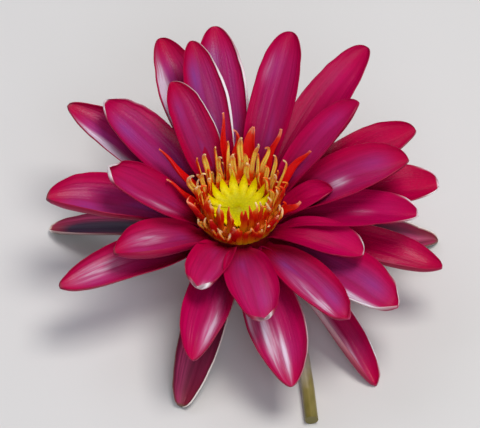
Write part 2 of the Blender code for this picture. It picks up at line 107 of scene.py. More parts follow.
MIDDLE_PETALS = (
    Blade(-104, 20, -14, 54, 20, 0, 0, 55, violet=0.2, satin=(Spot(0.35, 0.72, 0.24, 0.2, 0.7),),
          creases=(Spot(-0.1, 0.6, 0.12, 0.3, 0.7),)),
    Blade(-75, 10, -21, 60, 24, 0, 0, 55, violet=0.3,
          satin=(Spot(-0.32, 0.68, 0.16, 0.22, 1.0), Spot(0.08, 0.78, 0.14, 0.18, 0.9),
                 Spot(-0.8, 0.55, 0.18, 0.14, 0.8)),
          creases=(Spot(-0.12, 0.7, 0.07, 0.3, 0.5),), rims=(Spot(1, 0.7, 0.3, 0.25, 0.5),)),
    Blade(-54, 27, -6, 55, 18, 0, 0, 50, violet=0.8, hook=45,
          satin=(Spot(-0.4, 0.6, 0.3, 0.2, 0.35), Spot(-0.35, 0.8, 0.2, 0.09, 0.7)),
          creases=(Spot(0.3, 0.5, 0.1, 0.3, 0.5),)),
    Blade(-38, 18, -8.5, 60, 24, 0, 0, 48, tuck_minus=80, violet=0.8, hook=40,
          rims=(Spot(1, 0.95, 0.3, 0.08, 0.7), Spot(-1, 0.72, 0.3, 0.22, 1.5)),
          satin=(Spot(-0.6, 0.72, 0.2, 0.22, 1.6),), creases=(Spot(-0.45, 0.7, 0.07, 0.25, 0.7),)),
    Blade(-17, 12, -12, 64, 18, 0, 0, 48, violet=0.0, minus=20, hook=20,
          satin=(Spot(-0.5, 0.62, 0.12, 0.3, 0.3),), creases=(Spot(-0.35, 0.65, 0.06, 0.3, 0.9),)),
    Blade(4, 26, 1, 62, 23, 0, 0, 45, blunt=0.38, violet=0.0, rims=(Spot(0.2, 1.0, 1.5, 0.07, 3),),
          satin=(Spot(0.0, 0.52, 0.25, 0.12, 0.4),)),
    Blade(20, 36, 11, 61, 20, 0, 0, 45, blunt=0.45, violet=0.0),
    Blade(45, 49, 24, 69, 20, 2, 0, 45, blunt=0.45, violet=0.1,
          creases=(Spot(0.35, 0.45, 0.1, 0.3, 0.6),)),
    Blade(98, 46, 20, 63, 21, 0, 0, 45, blunt=0.56, lip_minus=110, violet=1.1,
          rims=(Spot(-1, 0.6, 0.5, 0.25, 1.0),)),
    Blade(147, 45, 20, 55, 21, 0, 0, 45, violet=0.9, fleck=0.4, hook=25,
          rims=(Spot(-1, 0.85, 0.3, 0.12, 0.5), Spot(0, 1, 2, 0.05, 1.2)),
          creases=(Spot(-0.3, 0.55, 0.1, 0.3, 0.5),)),
    Blade(-176, 33, 5, 60, 24, 0, 0, 48, plus=30, violet=0.8, fleck=0.7,
          satin=(Spot(0.5, 0.9, 0.3, 0.07, 0.4),), creases=(Spot(0.45, 0.6, 0.08, 0.3, 0.6),)),
    Blade(-146, 20, -9, 61, 20, -12, 0, 48, peak=0.5, minus=30, violet=0.4, fleck=0.5, hook=20,
          satin=(Spot(-0.2, 0.76, 0.4, 0.2, 0.5),)),
)
OUTER_PETALS = (
    Blade(116, 46, 22, 65, 21, 0, 0, 45, violet=0.8,
          satin=(Spot(0.72, 0.64, 0.28, 0.2, 1.8), Spot(0.77, 0.4, 0.28, 0.2, 1.6))),
    Blade(151, 36, 14, 65, 19, 0, 0, 45, blunt=0.6, minus=40, violet=0.8, fleck=0.6,
          satin=(Spot(0.72, 0.7, 0.26, 0.18, 1.8), Spot(0.74, 0.42, 0.26, 0.2, 1.6))),
    Blade(-42.5, -8, -30, 66, 15.5, -16, 0, 50, peak=0.64, minus=80, lip_plus=60, lip_minus=40, violet=0.2,
          rims=(Spot(1, 0.62, 0.4, 0.22, 3.0), Spot(-1, 0.4, 0.3, 0.3, 0.6)),
          satin=(Spot(-0.6, 0.45, 0.4, 0.3, 0.9), Spot(-0.3, 0.8, 0.25, 0.14, 0.5)),
          creases=(Spot(0.1, 0.6, 0.08, 0.3, 0.5),)),
)
SEPALS = (
    Blade(-107, 0, -30, 58.5, 18, 0, 0, 54, peak=0.42, blunt=0.36, lip_plus=40, fleck=1, violet=0.1,
          satin=(Spot(-0.6, 0.75, 0.4, 0.4, 1.0),), creases=(Spot(0.1, 0.6, 0.1, 0.4, 0.6),),
          rims=(Spot(1, 0.75, 0.3, 0.4, 1.5),)),
    Blade(7, -5, -27, 64, 17, 0, 0, 50, lip_plus=80, fleck=0.6, violet=0.9,
          satin=(Spot(-0.5, 0.7, 0.35, 0.3, 1.2), Spot(0.2, 0.85, 0.2, 0.1, 0.8)),
          rims=(Spot(1, 0.85, 0.4, 0.25, 2.5),)),
    Blade(78, -4, -26, 62, 17, 0, 0, 50, satin=(Spot(0.0, 0.7, 0.4, 0.3, 0.5),)),
    Blade(172.5, -2, -28, 61, 14, -10, 12, 50, blunt=0.45, violet=1.6, satin=(Spot(-0.8, 0.7, 0.25, 0.4, 0.5),),
          rims=(Spot(1, 0.8, 0.3, 0.3, 0.3), Spot(0, 1, 2, 0.03, 3))),
)
RIBBON = dict(peak=0.3, blunt=0.9, wave=0.9, twist=40)
PETALOIDS = (
    Blade(155, 50, 40, 26, 4.0, 0, 0, 35, **RIBBON),
    Blade(174, 54, 44, 19, 3.0, 0, 0, 35, **RIBBON),
    Blade(-158, 70, 64, 16, 9.0, 0, 0, 50, blunt=0.42),
    Blade(-125, 72, 76, 13, 3.6, 0, 0, 40, peak=0.35, blunt=0.8, twist=20),
    Blade(-95, 72, 76, 12, 3.8, 0, 0, 40, peak=0.35, blunt=0.8, twist=-25),
    Blade(-66, 72, 76, 13, 3.4, 0, 0, 40, peak=0.35, blunt=0.8, twist=15),
    Blade(-40, 68, 68, 13, 3.8, 0, 0, 40, peak=0.35, blunt=0.8, twist=-20),
    Blade(-14, 56, 46, 15, 3.4, 0, 0, 40, **RIBBON),
    Blade(28, 55, 43, 24, 3.6, 0, 0, 35, **RIBBON),
    Blade(54, 64, 58, 25, 3.0, 0, 0, 35, **RIBBON),
    Blade(78, 64, 58, 22, 5.0, 0, 0, 35, peak=0.45, blunt=0.6, wave=0.4, twist=-20,
          creases=(Spot(0.1, 0.5, 0.15, 0.4, 0.4),)),
    Blade(93, 64, 56, 21, 3.0, 0, 0, 35, peak=0.3, blunt=0.9, wave=1.2, twist=-60, hook=60),
    Blade(104, 66, 60, 28, 3.2, 0, 0, 35, **RIBBON),
)

# A whorl says where its blades grow and how their skin is made: root radius and height, how deep the root is
# sunk, thickness at the midrib and at the rim, faces across and along, and how strong its lengthwise folds are.
Whorl = namedtuple("Whorl", "radius height sink thick rim across along folds")
INNER = Whorl(14.0, 6.0, 4.5, 0.85, 0.28, 28, 44, 0.3)
MIDDLE = Whorl(14.0, 3.0, 4.5, 0.85, 0.28, 28, 44, 0.32)
OUTER = Whorl(14.0, 0.0, 4.5, 0.9, 0.3, 28, 44, 0.3)
CALYX_WHORL = Whorl(14.0, -5.5, 4.5, 0.95, 0.45, 24, 44, 0.25)
PETALOID_WHORL = Whorl(13.9, 10.0, 1.2, 0.7, 0.3, 10, 28, 0.12)

# Form that all blades share: narrow and flatter at the root, tip curled up and more hollow. A share runs from 0
# at a blade's root to 1 at its tip, across runs from -1 to 1 between its margins, and angles are in degrees.
ROOT_SHARE, ROOT_TAPER, TIP_HALF = 0.42, 1.2, 0.3
TIP_CURL, TIP_CURL_FROM = 12.0, 0.8
BLADE_HOOK_FROM = 0.88
ROLL_TO = 0.5
ROOT_CUP, ROOT_CUP_TO = 0.4, 0.25
TIP_CUP, TIP_CUP_FROM = 0.4, 0.6
# Where a rolled margin, a turned lip and a tuck begin across a blade, and between which shares they come and go.
MARGIN_FROM, MARGIN_COMES = 0.45, (0.1, 0.4)
LIP_FROM, LIP_COMES, LIP_GOES = 0.86, (0.2, 0.4), (0.7, 1.05)
TUCK_GOES = (0.45, 0.75)
# Steps along a blade's spine and across half its section, and how many radians a narrow blade waves in all.
SPINE_STEPS, SECTION_STEPS, WAVE_TURNS = 120, 12, 8.0

# How far a blade's outline strays from its even curve, as a share of its width. It strays slowly all along, and
# finely towards the tip. Each way has its pace and its layer of the noise, and the two margins lie apart in it.
RAGGED = 0.05
SLOW_PACE, SLOW_LAYER = 3.5, 0.0
FINE_PACE, FINE_LAYER, FINE_COMES = 14.0, 9.0, (0.5, 0.9)
MARGINS_APART = 5.0

# The relief of a blade's face comes in from the root and is weaker at the tip.
RELIEF_TO, RELIEF_WEAKER, RELIEF_WEAKER_FROM = 0.3, 0.6, 0.75
# Lengthwise folds, as a share of the whorl's: even ones, in radians from the middle to the margin, chance ones,
# and waves along the margins.
EVEN_FOLDS, CHANCE_FOLDS, MARGIN_WAVES = 4.2, 1.6, 0.5
# Fine ribs along a blade: their height, their number in radians from the middle to the margin, and their wander.
RIB, RIBS, RIB_WANDER = 0.04, 15.0, 4.0
# A withered tip is crumpled, and every tip and margin is thinner than the middle.
CRUMPLE, CRUMPLE_FROM = 0.35, 0.93
TIP_THINNER, TIP_THINNER_FROM, MARGIN_THINS = 0.5, 0.8, 4
# A grain is the pace of a noise across and along a blade, and the layer that it is read from.
Grain = namedtuple("Grain", "across along layer")
FOLD_GRAIN, RIB_GRAIN, CRUMPLE_GRAIN = Grain(1.2, 3.0, 0.0), Grain(3.0, 4.0, 7.0), Grain(4.0, 40.0, 3.0)
# What is drawn for each blade: where its folds and waves begin, how many waves, and its place in the noise.
FOLD_PHASES, MARGIN_TURNS, DRIFTS = (0.0, 6.28), (1.1, 1.7), (0, 50)

# Where the violet comes and goes along a blade and fades across it, how much weaker the painted highlights
# are at the margin, and where the fleck begins.
VIOLET_COMES, VIOLET_GOES, VIOLET_FADES = (0.08, 0.38), (0.78, 0.98), (0.15, 0.9)
PAINTED_HIGHLIGHT_WEAKER, PAINTED_HIGHLIGHT_WEAKENS = 0.8, (0.88, 0.98)
FLECK_COMES = (0.975, 0.995)
# How far a pale rim, partly its own pale edge and partly painted glints, reaches in from the outline on the
# upper face and on the back, and where it has faded out.
RIM_WIDE, RIM_GONE = (0.1, 1.2), (0.65, 2.8)

# The rows of a blade's grid crowd towards its tip, and its columns towards its margins.
ROWS_CROWD, COLUMNS_CROWD = 1.6, 0.4

# Stamens in three rings: ring radius, number, length, lean outward at root and at tip, hook of the tip.
StamenRing = namedtuple("StamenRing", "radius count length lean_root lean_tip hook")
STAMEN_RINGS = (
    StamenRing(11.3, 14, 11.0, 12, 0, 75),
    StamenRing(12.0, 18, 14.5, 18, 8, 60),
    StamenRing(12.7, 21, 18.5, 22, 14, 45),
)
Strap = namedtuple("Strap", "heading lean_root lean_tip length hook sway")
STAMEN_ROOT, STAMEN_WIDTH = 11.6, 2.2
STAMEN_SEED = 11
SCATTER_HEADING, SCATTER_LEAN, SCATTER_LENGTH, SCATTER_HOOK, SCATTER_SWAY = 3.0, 3.0, 0.12, 35.0, 14.0
# The least that a stamen leans at the front, and how far round from the side it comes to that.
LEAST_LEAN, FRONT_TO = 12.0, 0.7
STAMEN_HOOK_FROM = 0.8
STRAP_STEPS = 40
# Faces across and along a stamen, and how they crowd towards its tip and its margins.
STAMEN_GRID = (10, 24, 1.2, 0.3)
# What is drawn for each stamen: the width of its waves, where they begin and how many, its twist, its width as a
# share of STAMEN_WIDTH, and how far its tip lurches aside.
WAVES, WAVE_PHASES, WAVE_PACES = (0.3, 1.3), (0.0, math.tau), (3.5, 7.0)
TWISTS, WIDTHS, LURCHES = (-90.0, 90.0), (0.85, 1.25), (-1.5, 1.5)
# A stamen's taper, and how much narrower its tip gets and from where. Its thickness at the margin, how much
# thicker it is in the middle, and how hollow it is.
STAMEN_TAPER, STAMEN_TIP, STAMEN_TIP_FROM = 0.15, 0.6, 0.7
STAMEN_RIM, STAMEN_MIDDLE, STAMEN_HOLLOW = 0.22, 0.25, 0.18
# Anther lobes: their height, where they come and go along, and where one starts across and how wide it is.
LOBE, LOBES_COME, LOBES_GO = 0.42, (0.36, 0.46), (0.84, 0.94)
LOBE_FROM, LOBE_WIDE = 0.12, 0.86
# The outermost stamens stand against the rim of the ring, and hide it. What is drawn for each is in degrees, and
# its length in millimetres. Its tip leans out less by FOOT_UPRIGHT.
FOOT_COUNT, FOOT_RADIUS, FOOT_ROOT, FOOT_UPRIGHT = 38, 14.5, 8.3, 6.0
FOOT_HEADINGS, FOOT_LEANS, FOOT_LENGTHS = (-4.0, 4.0), (8.0, 26.0), (8.0, 13.0)
FOOT_HOOKS, FOOT_SWAYS = (10.0, 80.0), (-10, 10)

# The stigma disc: a shallow bowl with a boss in its middle, from whose rim the rays stand up and lean out.
BOWL_LOW, BOWL_RISE, BOSS, BOSS_RADIUS = 11.4, 1.1, 0.7, 2.4
RAYS, RAY_ROOT_RADIUS = 16, 9.0
RAY_LENGTH, RAY_SHORTER, RAY_LENGTHS = 6.4, 0.9, (0.88, 1.08)
# A ray is straight-sided at 1, and rounder below that.
RAY_POINT = 0.95
RAY_LEAN_ROOT, RAY_LEAN_TIP = 34.0, 4.0
# How much further a ray leans out at its foot, and how long that foot is.
RAY_FOOT_LEAN, RAY_FOOT = 40.0, 2.0
RAY_STEPS = 20
STAR_SEED, STAR_GRID = 9, (RAYS * 8, 30)
# The star's thickness, the tiny hole that is welded shut in its middle, and its ridges' height and where they come.
STAR_THICK, STAR_HOLE = 0.7, 0.02
RIDGE, RIDGES_COME = 0.55, (4.5, 8.5)

STEM_RADIUS = 2.4
STEM_STEPS, STEM_SIDES = 10, 72
STEM_LEVEL = FLOOR + STEM_RADIUS
STEM_LINE = (
    (0.0, 0.0, -8.9), (0.6, -0.9, -13.1), (2.4, -3.5, -16.2), (4.8, -6.9, STEM_LEVEL),
    (12.5, -18.0, STEM_LEVEL), (21.6, -37.0, STEM_LEVEL), (24.7, -56.0, STEM_LEVEL), (26.4, -74.0, STEM_LEVEL),
)

# Outlines of the turned bodies as (radius, height). One that starts on the axis is solid, and the others are rings.
RECEPTACLE = ((0.0, -4.0), (11.0, -4.0), (13.4, -1.5), (14.4, 3.0), (14.7, 7.9), (0.0, 7.9))
CALYX_CUP = ((0.0, -8.6), (5.0, -8.6), (11.6, -6.4), (12.2, -4.3), (0.0, -4.3))
PETALOID_RING = ((10.5, 8.2), (14.5, 8.2), (14.5, 10.2), (10.5, 10.2))
STAMEN_RING = ((10.4, 10.5), (13.4, 10.5), (13.2, 12.4), (10.6, 12.6))
STIGMA_BASE = ((0.0, 8.2), (10.0, 8.2), (10.0, 11.6), (8.0, 11.4), (0.0, 10.6))
TURNED_SIDES = 96
# Vertices closer than this are one, and an edge sharper than this stays sharp.
WELD, SHARP = 0.01, 50.0


def ease(x, start=0.0, end=1.0):
    """0 up to the start, 1 from the end on, and a soft rise between them."""
    x = min(max((x - start) / (end - start), 0.0), 1.0)
    return x * x * (3.0 - 2.0 * x)


def linear(hex_colour):
    """An sRGB hex colour as linear red, green, blue and alpha."""
    parts = [int(hex_colour[k:k + 2], 16) / 255.0 for k in (1, 3, 5)]
    return tuple(p / 12.92 if p <= 0.04045 else ((p + 0.055) / 1.055) ** 2.4 for p in parts) + (1.0,)


def add(tree, kind, links=None, out=0, stops=None, **settings):
    """Adds a node with its settings, sockets and colour stops, and gives back one of its outputs.

    A colour may be a hex one.
    """
    made = tree.nodes.new("ShaderNode" + kind)
    for name, value in settings.items():
        setattr(made, name, value)
    for key, value in (links or {}).items():
        if isinstance(value, bpy.types.NodeSocket):
            tree.links.new(value, made.inputs[key])
        else:
            made.inputs[key].default_value = linear(value) if isinstance(value, str) else value
    if stops:
        ramp = made.color_ramp
        while len(ramp.elements) < len(stops):
            ramp.elements.new(1.0)
        for element, (place, colour) in zip(ramp.elements, stops):
            element.position = place
            element.color = linear(colour)
    return made.outputs[out]


def link_object(name, data):
    """A new object in the scene."""
    made = bpy.data.objects.new(name, data)
    bpy.context.scene.collection.objects.link(made)
    return made


def new_material(name, **surface_values):
    """A Principled material with its uniform values set on the shader's own sockets."""
    made = bpy.data.materials.new(name)
    made.use_nodes = True
    surface = made.node_tree.nodes["Principled BSDF"]
    for socket, value in surface_values.items():
        surface.inputs[socket.replace("_", " ")].default_value = value
    return made, made.node_tree


def finish_skin(made, colour, relief=None, strength=0.0, depth=0.0):
    """Gives a skin its colour, and its relief with a depth in millimetres."""
    tree = made.node_tree
    surface = tree.nodes["Principled BSDF"]
    tree.links.new(colour, surface.inputs["Base Color"])
    if relief is not None:
        bump = add(tree, "Bump", {"Height": relief, "Strength": strength, "Distance": depth * MM})
        tree.links.new(bump, surface.inputs["Normal"])
    return made


# Where a point lies on a blade, for its patterns: its UV map, and how far across and along, both from 0 to 1.
Place = namedtuple("Place", "uv across along")

# Veins run lengthwise in a petal, about 0.8 mm apart. They are drawn 1.3 mm apart, which the render can show.
VEIN_SPACING = 1.3
PETAL_WIDTH = 20.0


def blade_place(tree):
    uv = add(tree, "UVMap", uv_map="blade")
    across = add(tree, "SeparateXYZ", {0: uv})
    return Place(uv, across, across.node.outputs[1])


def from_middle(tree, at):
    """How far a point lies from the blade's middle, 1 at its margin."""
    offset = add(tree, "Math", {0: at.across, 1: 0.5}, operation="SUBTRACT")
    offset = add(tree, "Math", {0: offset, 1: 2.0}, operation="MULTIPLY")
    return add(tree, "Math", {0: offset}, operation="ABSOLUTE")


def blotches(tree, at, across, along, detail=3.0, distortion=0.0):
    """Soft blotches on a blade, so many across it and along it."""
    place = add(tree, "Mapping", {0: at.uv, 3: (across, along, 1.0)})
    return add(tree, "TexNoise", {
        "Vector": place, "Scale": 1.0, "Detail": detail, "Distortion": distortion,
    })


def veins(tree, at, along=2.0):
    """Fine lengthwise streaks at the spacing of a petal's veins."""
    return blotches(tree, at, PETAL_WIDTH / VEIN_SPACING, along)


def shaded(tree, colour, streaks, least, most, hue=0.5):
    """The colour, darker and lighter by the streaks."""
    shade = add(tree, "MapRange", {
        "Value": streaks, "From Min": 0.3, "From Max": 0.7, "To Min": least, "To Max": most,
    })
    return add(tree, "HueSaturation", {"Hue": hue, "Value": shade, "Color": colour})


def marked(tree, colour, mark, paint):
    """The colour, with paint over it where the blade's own attribute of that name marks it."""
    share = add(tree, "Attribute", attribute_name=mark, out=2)
    return add(tree, "Mix", {0: share, 6: colour, 7: paint}, out=2, data_type="RGBA")


def painted_highlight_spots(tree, streaks, lightest, least, most):
    """How strong the painted highlights are: the blade's own spots, brushed out in streaks."""
    spot = add(tree, "Attribute", attribute_name="satin", out=2)
    brushed = add(tree, "MapRange", {
        "Value": streaks, "From Min": 0.35, "From Max": lightest, "To Min": least, "To Max": most,
    })
    return add(tree, "Math", {0: brushed, 1: spot, 2: spot}, operation="MULTIPLY_ADD", use_clamp=True)


def petal_skin():
    """Inner skin of a petal: soft cells with painted satin highlights, crimson at its margins and violet down the
    middle, where the violet is partly a painted reflection of blue sky.
    """
    made, tree = new_material(
        "petal_inner_skin", Roughness=0.3, IOR=1.38, Specular_IOR_Level=0.16, Coat_Weight=0.05, Coat_Roughness=0.15,
    )
    at = blade_place(tree)
    colour = add(tree, "ValToRGB", {0: at.along}, stops=(
        (0.0, "#5A0014"), (0.2, "#8C0026"), (0.45, "#AA003C"), (0.8, "#B40048"), (0.96, "#B80042"),
    ))
    margin = add(tree, "MapRange", {
        "Value": from_middle(tree, at), "From Min": 0.55, "From Max": 0.95, "To Max": 0.7,
    }, interpolation_type="SMOOTHSTEP")
    colour = add(tree, "Mix", {0: margin, 6: colour, 7: "#BE0046"}, out=2, data_type="RGBA")
    # Violet lies in soft blotches down the middle, about 8 mm wide and 30 mm long. It is partly the petal's own
    # colour and partly a painted reflection of blue sky.
    mottled = add(tree, "MapRange", {
        "Value": blotches(tree, at, 2.6, 2.0, 2.0, 0.4), "From Min": 0.35, "From Max": 0.65, "To Min": 0.35,
    })
    violet = add(tree, "Attribute", attribute_name="violet", out=2)
    violet = add(tree, "Math", {0: violet, 1: mottled}, operation="MULTIPLY")
    colour = add(tree, "Mix", {0: violet, 6: colour, 7: "#7E3C88"}, out=2, data_type="RGBA")
    # Each petal has a hue of its own, a touch warmer or cooler.
    tint = add(tree, "Attribute", attribute_name="tint", out=2)
    hue = add(tree, "MapRange", {"Value": tint, "To Min": 0.496, "To Max": 0.504})
    streaks = veins(tree, at)
    colour = shaded(tree, colour, streaks, 0.86, 1.14, hue)
    # The painted highlights are magenta where they are faint, and almost white where they are strong.
    satin = painted_highlight_spots(tree, veins(tree, at, 4.0), 0.65, -0.45, 0.25)
    painted_highlight_colour = add(tree, "ValToRGB", {0: satin}, stops=((0.0, "#B43888"), (0.22, "#D088B8"), (0.5, "#E2CCE0")))
    colour = add(tree, "Mix", {0: satin, 6: colour, 7: painted_highlight_colour}, out=2, data_type="RGBA")
    # The withered fleck at the tip, and the thin pale rim where the skin runs out, partly its own pale edge and
    # partly painted glints.
    colour = marked(tree, colour, "fleck", "#84484C")
    colour = marked(tree, colour, "rim", "#F4E0E6")
    # The skin's cells are about 0.05 mm across. They are drawn 1 mm across, which the render can show.
    cells = add(tree, "TexNoise", {
        "Vector": add(tree, "TexCoord", out=3), "Scale": 1000.0, "Detail": 3.0, "Roughness": 0.6,
    })
    relief = add(tree, "Math", {0: cells, 1: 0.35, 2: streaks}, operation="MULTIPLY_ADD")
    return finish_skin(made, colour, relief, 0.6, 0.5)


def petal_back():
    """Outer skin of a petal: paler and duller than the inner one, with whitish lengthwise streaks."""
    made, tree = new_material(
        "petal_outer_skin", Roughness=0.42, IOR=1.38, Specular_IOR_Level=0.3, Subsurface_Weight=0.05,
        Subsurface_Scale=0.001, Subsurface_Radius=(1.0, 0.1, 0.4),
    )
    at = blade_place(tree)
    streaks = veins(tree, at, 1.6)
    colour = add(tree, "ValToRGB", {0: streaks}, stops=(
        (0.3, "#940530"), (0.55, "#AC1C50"), (0.75, "#C45C88"),
    ))
    margin = add(tree, "MapRange", {"Value": from_middle(tree, at), "From Min": 0.6, "From Max": 0.95})
    colour = add(tree, "Mix", {0: margin, 6: colour, 7: "#A0023A"}, out=2, data_type="RGBA")
    # The pale rim: partly its own pale edge, partly painted glints.
    colour = marked(tree, colour, "rim", "#FAF0F2")
    colour = marked(tree, colour, "fleck", "#6A2038")
    return finish_skin(made, colour, streaks, 0.5, 0.25)


def flesh_skin(name, dark, light):
    """Bare flesh of the cup or the ring that blades grow from, matt and mottled in spots of about 1 mm."""
    made, tree = new_material(name, Roughness=0.5, IOR=1.4)
    place = add(tree, "TexCoord", out=3)
    grain = add(tree, "TexNoise", {"Vector": place, "Scale": 900.0, "Detail": 2.0})
    return finish_skin(made, add(tree, "ValToRGB", {0: grain}, stops=((0.3, dark), (0.7, light))))


def sepal_skin():
    """Inner skin of a sepal: leathery dark maroon, slate violet in its middle and redder towards its tip, with
    crimson-pink painted highlights.
    """
    made, tree = new_material("sepal_inner_skin", Roughness=0.45, IOR=1.42, Specular_IOR_Level=0.3)
    at = blade_place(tree)
    colour = add(tree, "ValToRGB", {0: at.along}, stops=(
        (0.0, "#440C20"), (0.4, "#6A1438"), (0.8, "#841C40"), (1.0, "#8A2438"),
    ))
    colour = marked(tree, colour, "violet", "#2E1E34")
    streaks = veins(tree, at)
    # Painted highlights in crimson pink, brushed out in streaks.
    satin = painted_highlight_spots(tree, streaks, 0.62, -0.3, 0.1)
    colour = add(tree, "Mix", {0: satin, 6: colour, 7: "#C84878"}, out=2, data_type="RGBA")
    colour = shaded(tree, colour, streaks, 0.78, 1.2)
    colour = marked(tree, colour, "fleck", "#6E4C3C")
    # The pale rim: partly its own pale edge, partly painted glints.
    colour = marked(tree, colour, "rim", "#DCC4B4")
    return finish_skin(made, colour, streaks, 0.6, 0.3)


def sepal_back():
    """Outer skin of a sepal and the calyx cup: olive green, waxy, with bronze streaks and a cream margin."""
    made, tree = new_material("sepal_outer_skin", Roughness=0.4, IOR=1.45, Coat_Weight=0.2, Coat_Roughness=0.25)
    at = blade_place(tree)
    streaks = veins(tree, at, 1.5)
    colour = add(tree, "ValToRGB", {0: streaks}, stops=(
        (0.3, "#46521E"), (0.55, "#6A6A34"), (0.75, "#744436"),
    ))
    edge = add(tree, "MapRange", {
        "Value": from_middle(tree, at), "From Min": 0.6, "From Max": 0.9, "To Max": 0.8,
    })
    colour = add(tree, "Mix", {0: edge, 6: colour, 7: "#8C3848"}, out=2, data_type="RGBA")
    # The pale rim: partly its own pale edge, partly painted glints.
    colour = marked(tree, colour, "rim", "#F0E4DC")
    return finish_skin(made, colour, streaks, 0.6, 0.3)


def strap_skin(name, stops, lobes=None, spread=0.16):
    """Thin waxy skin of a stamen or petaloid, coloured from its foot to its tip, with anther lobes in their own.

    The spread is how far the colours slide along from one strap to another, as a share of its length.
    """
    made, tree = new_material(
        name, Roughness=0.36, IOR=1.4, Specular_IOR_Level=0.45, Subsurface_Weight=0.25, Subsurface_Scale=0.001,
        Subsurface_Radius=(1.0, 0.45, 0.05),
    )
    at = blade_place(tree)
    # Faint streaks, about 0.5 mm wide and 3 mm long.
    grain = blotches(tree, at, 4.0, 6.0, 2.0)
    tint = add(tree, "Attribute", attribute_name="tint", out=2)
    shift = add(tree, "Math", {0: tint, 1: spread, 2: -0.75 * spread}, operation="MULTIPLY_ADD")
    shift = add(tree, "Math", {0: grain, 1: 0.16, 2: shift}, operation="MULTIPLY_ADD")
    along = add(tree, "Math", {0: at.along, 1: shift}, operation="ADD")
    colour = add(tree, "ValToRGB", {0: along}, stops=stops)
    if lobes:
        out = add(tree, "ValToRGB", {0: from_middle(tree, at)}, stops=(
            (0.0, "#B0B0B0"), (0.2, "#FFFFFF"), (0.72, "#FFFFFF"), (0.92, "#000000"),
        ))
        up = add(tree, "ValToRGB", {0: along}, stops=(
            (0.3, "#000000"), (0.42, "#FFFFFF"), (0.82, "#FFFFFF"), (0.9, "#000000"),
        ))
        mask = add(tree, "Math", {0: out, 1: up}, operation="MULTIPLY")
        colour = add(tree, "Mix", {0: mask, 6: colour, 7: lobes}, out=2, data_type="RGBA")
    return finish_skin(made, colour, grain, 0.4, 0.2)


def disc_skin():
    """Moist yellow skin of the stigma disc: olive in its middle, with painted shade in its furrows and painted
    light along its ridges.
    """
    made, tree = new_material(
        "stigma_skin", Roughness=0.42, IOR=1.36, Specular_IOR_Level=0.15, Subsurface_Weight=0.2,
        Subsurface_Scale=0.0015, Subsurface_Radius=(1.0, 0.8, 0.02),
    )
    colour = add(tree, "ValToRGB", {0: blade_place(tree).along}, stops=(
        (0.0, "#B8A000"), (0.12, "#C0BC00"), (0.4, "#D2CC00"), (0.75, "#DED000"), (1.0, "#E8C800"),
    ))
    # The papillae of the disc are about 0.1 mm across. They are drawn 0.8 mm across, which the render can show.
    place = add(tree, "TexCoord", out=3)
    grain = add(tree, "TexNoise", {"Vector": place, "Scale": 1250.0, "Detail": 3.0})
    # Painted light along the ridges and painted shade in the furrows between them.
    painted_ridge_light = add(tree, "Attribute", attribute_name="painted_ridge_light", out=2)
    light = add(tree, "Math", {0: painted_ridge_light, 1: 0.3, 2: 0.65}, operation="MULTIPLY_ADD")
    light = add(tree, "Math", {0: grain, 1: 0.4, 2: light}, operation="MULTIPLY_ADD")
    colour = add(tree, "HueSaturation", {"Value": light, "Color": colour})
    return finish_skin(made, colour, grain, 0.5, 0.3)


def stem_skin():
    """Smooth waxy stalk skin, pale grey near the bloom and olive towards its cut end."""
    made, tree = new_material("stem_skin", Roughness=0.35, IOR=1.42, Coat_Weight=0.2, Coat_Roughness=0.25)
    at = blade_place(tree)
    # Soft blotches, about 5 mm wide and 10 mm long, and faint lines along the stalk.
    place = add(tree, "Math", {0: blotches(tree, at, 3.0, 9.0), 1: 0.3, 2: -0.15}, operation="MULTIPLY_ADD")
    place = add(tree, "Math", {0: place, 1: at.along}, operation="ADD")
    colour = add(tree, "ValToRGB", {0: place}, stops=(
        (0.0, "#A88478"), (0.62, "#D0CCC0"), (0.8, "#B8B098"), (0.92, "#8C8048"), (1.0, "#746A2C"),
    ))
    lines = blotches(tree, at, 18.0, 3.0, 2.0)
    colour = shaded(tree, colour, lines, 0.88, 1.1)
    return finish_skin(made, colour, lines, 0.25, 0.2)


def round_place(heading, radius=1.0, height=0.0):
    """The point at a compass angle round the bloom's axis. With no radius or height, it is the way outward."""
    turn = math.radians(heading)
    return Vector((math.cos(turn) * radius, math.sin(turn) * radius, height))


def turned(side, normal, angle):
    """A side and its normal, turned together."""
    return side * math.cos(angle) + normal * math.sin(angle), normal * math.cos(angle) - side * math.sin(angle)


def spine(blade, whorl):
    """Points down the middle of a blade, each with its share of the length, place, side and upward normal."""
    place = round_place(blade.heading, whorl.radius, whorl.height)
    places = [place]
    for k in range(SPINE_STEPS):
        share = (k + 0.5) / SPINE_STEPS
        curl = TIP_CURL * ease(share, TIP_CURL_FROM) + blade.hook * ease(share, BLADE_HOOK_FROM)
        rise = math.radians(blade.rise_root + (blade.rise_tip - blade.rise_root) * share + curl)
        ahead = round_place(blade.heading + blade.bend * share, math.cos(rise), math.sin(rise))
        place = place + ahead * (blade.length / SPINE_STEPS)
        place.z = max(place.z, FLOOR + whorl.thick)
        places.append(place)
    shares = [k / SPINE_STEPS for k in range(SPINE_STEPS + 1)]
    sides = [round_place(blade.heading + blade.bend * share + 90.0) for share in shares]
    for k, share in enumerate(shares):
        places[k] = places[k] + sides[k] * (blade.wave * share * math.sin(WAVE_TURNS * share + blade.heading))
    rows = []
    for k, share in enumerate(shares):
        ahead = (places[min(k + 1, SPINE_STEPS)] - places[max(k - 1, 0)]).normalized()
        side = (sides[k] - ahead * sides[k].dot(ahead)).normalized()
        roll = math.radians(blade.roll * ease(share, 0.0, ROLL_TO) + blade.twist * share)
        rows.append((share, places[k], *turned(side, ahead.cross(side), roll)))
    back = (places[0] - places[1]).normalized() * whorl.sink
    rows.insert(0, (-whorl.sink / blade.length, places[0] + back, rows[0][2], rows[0][3]))
    return rows


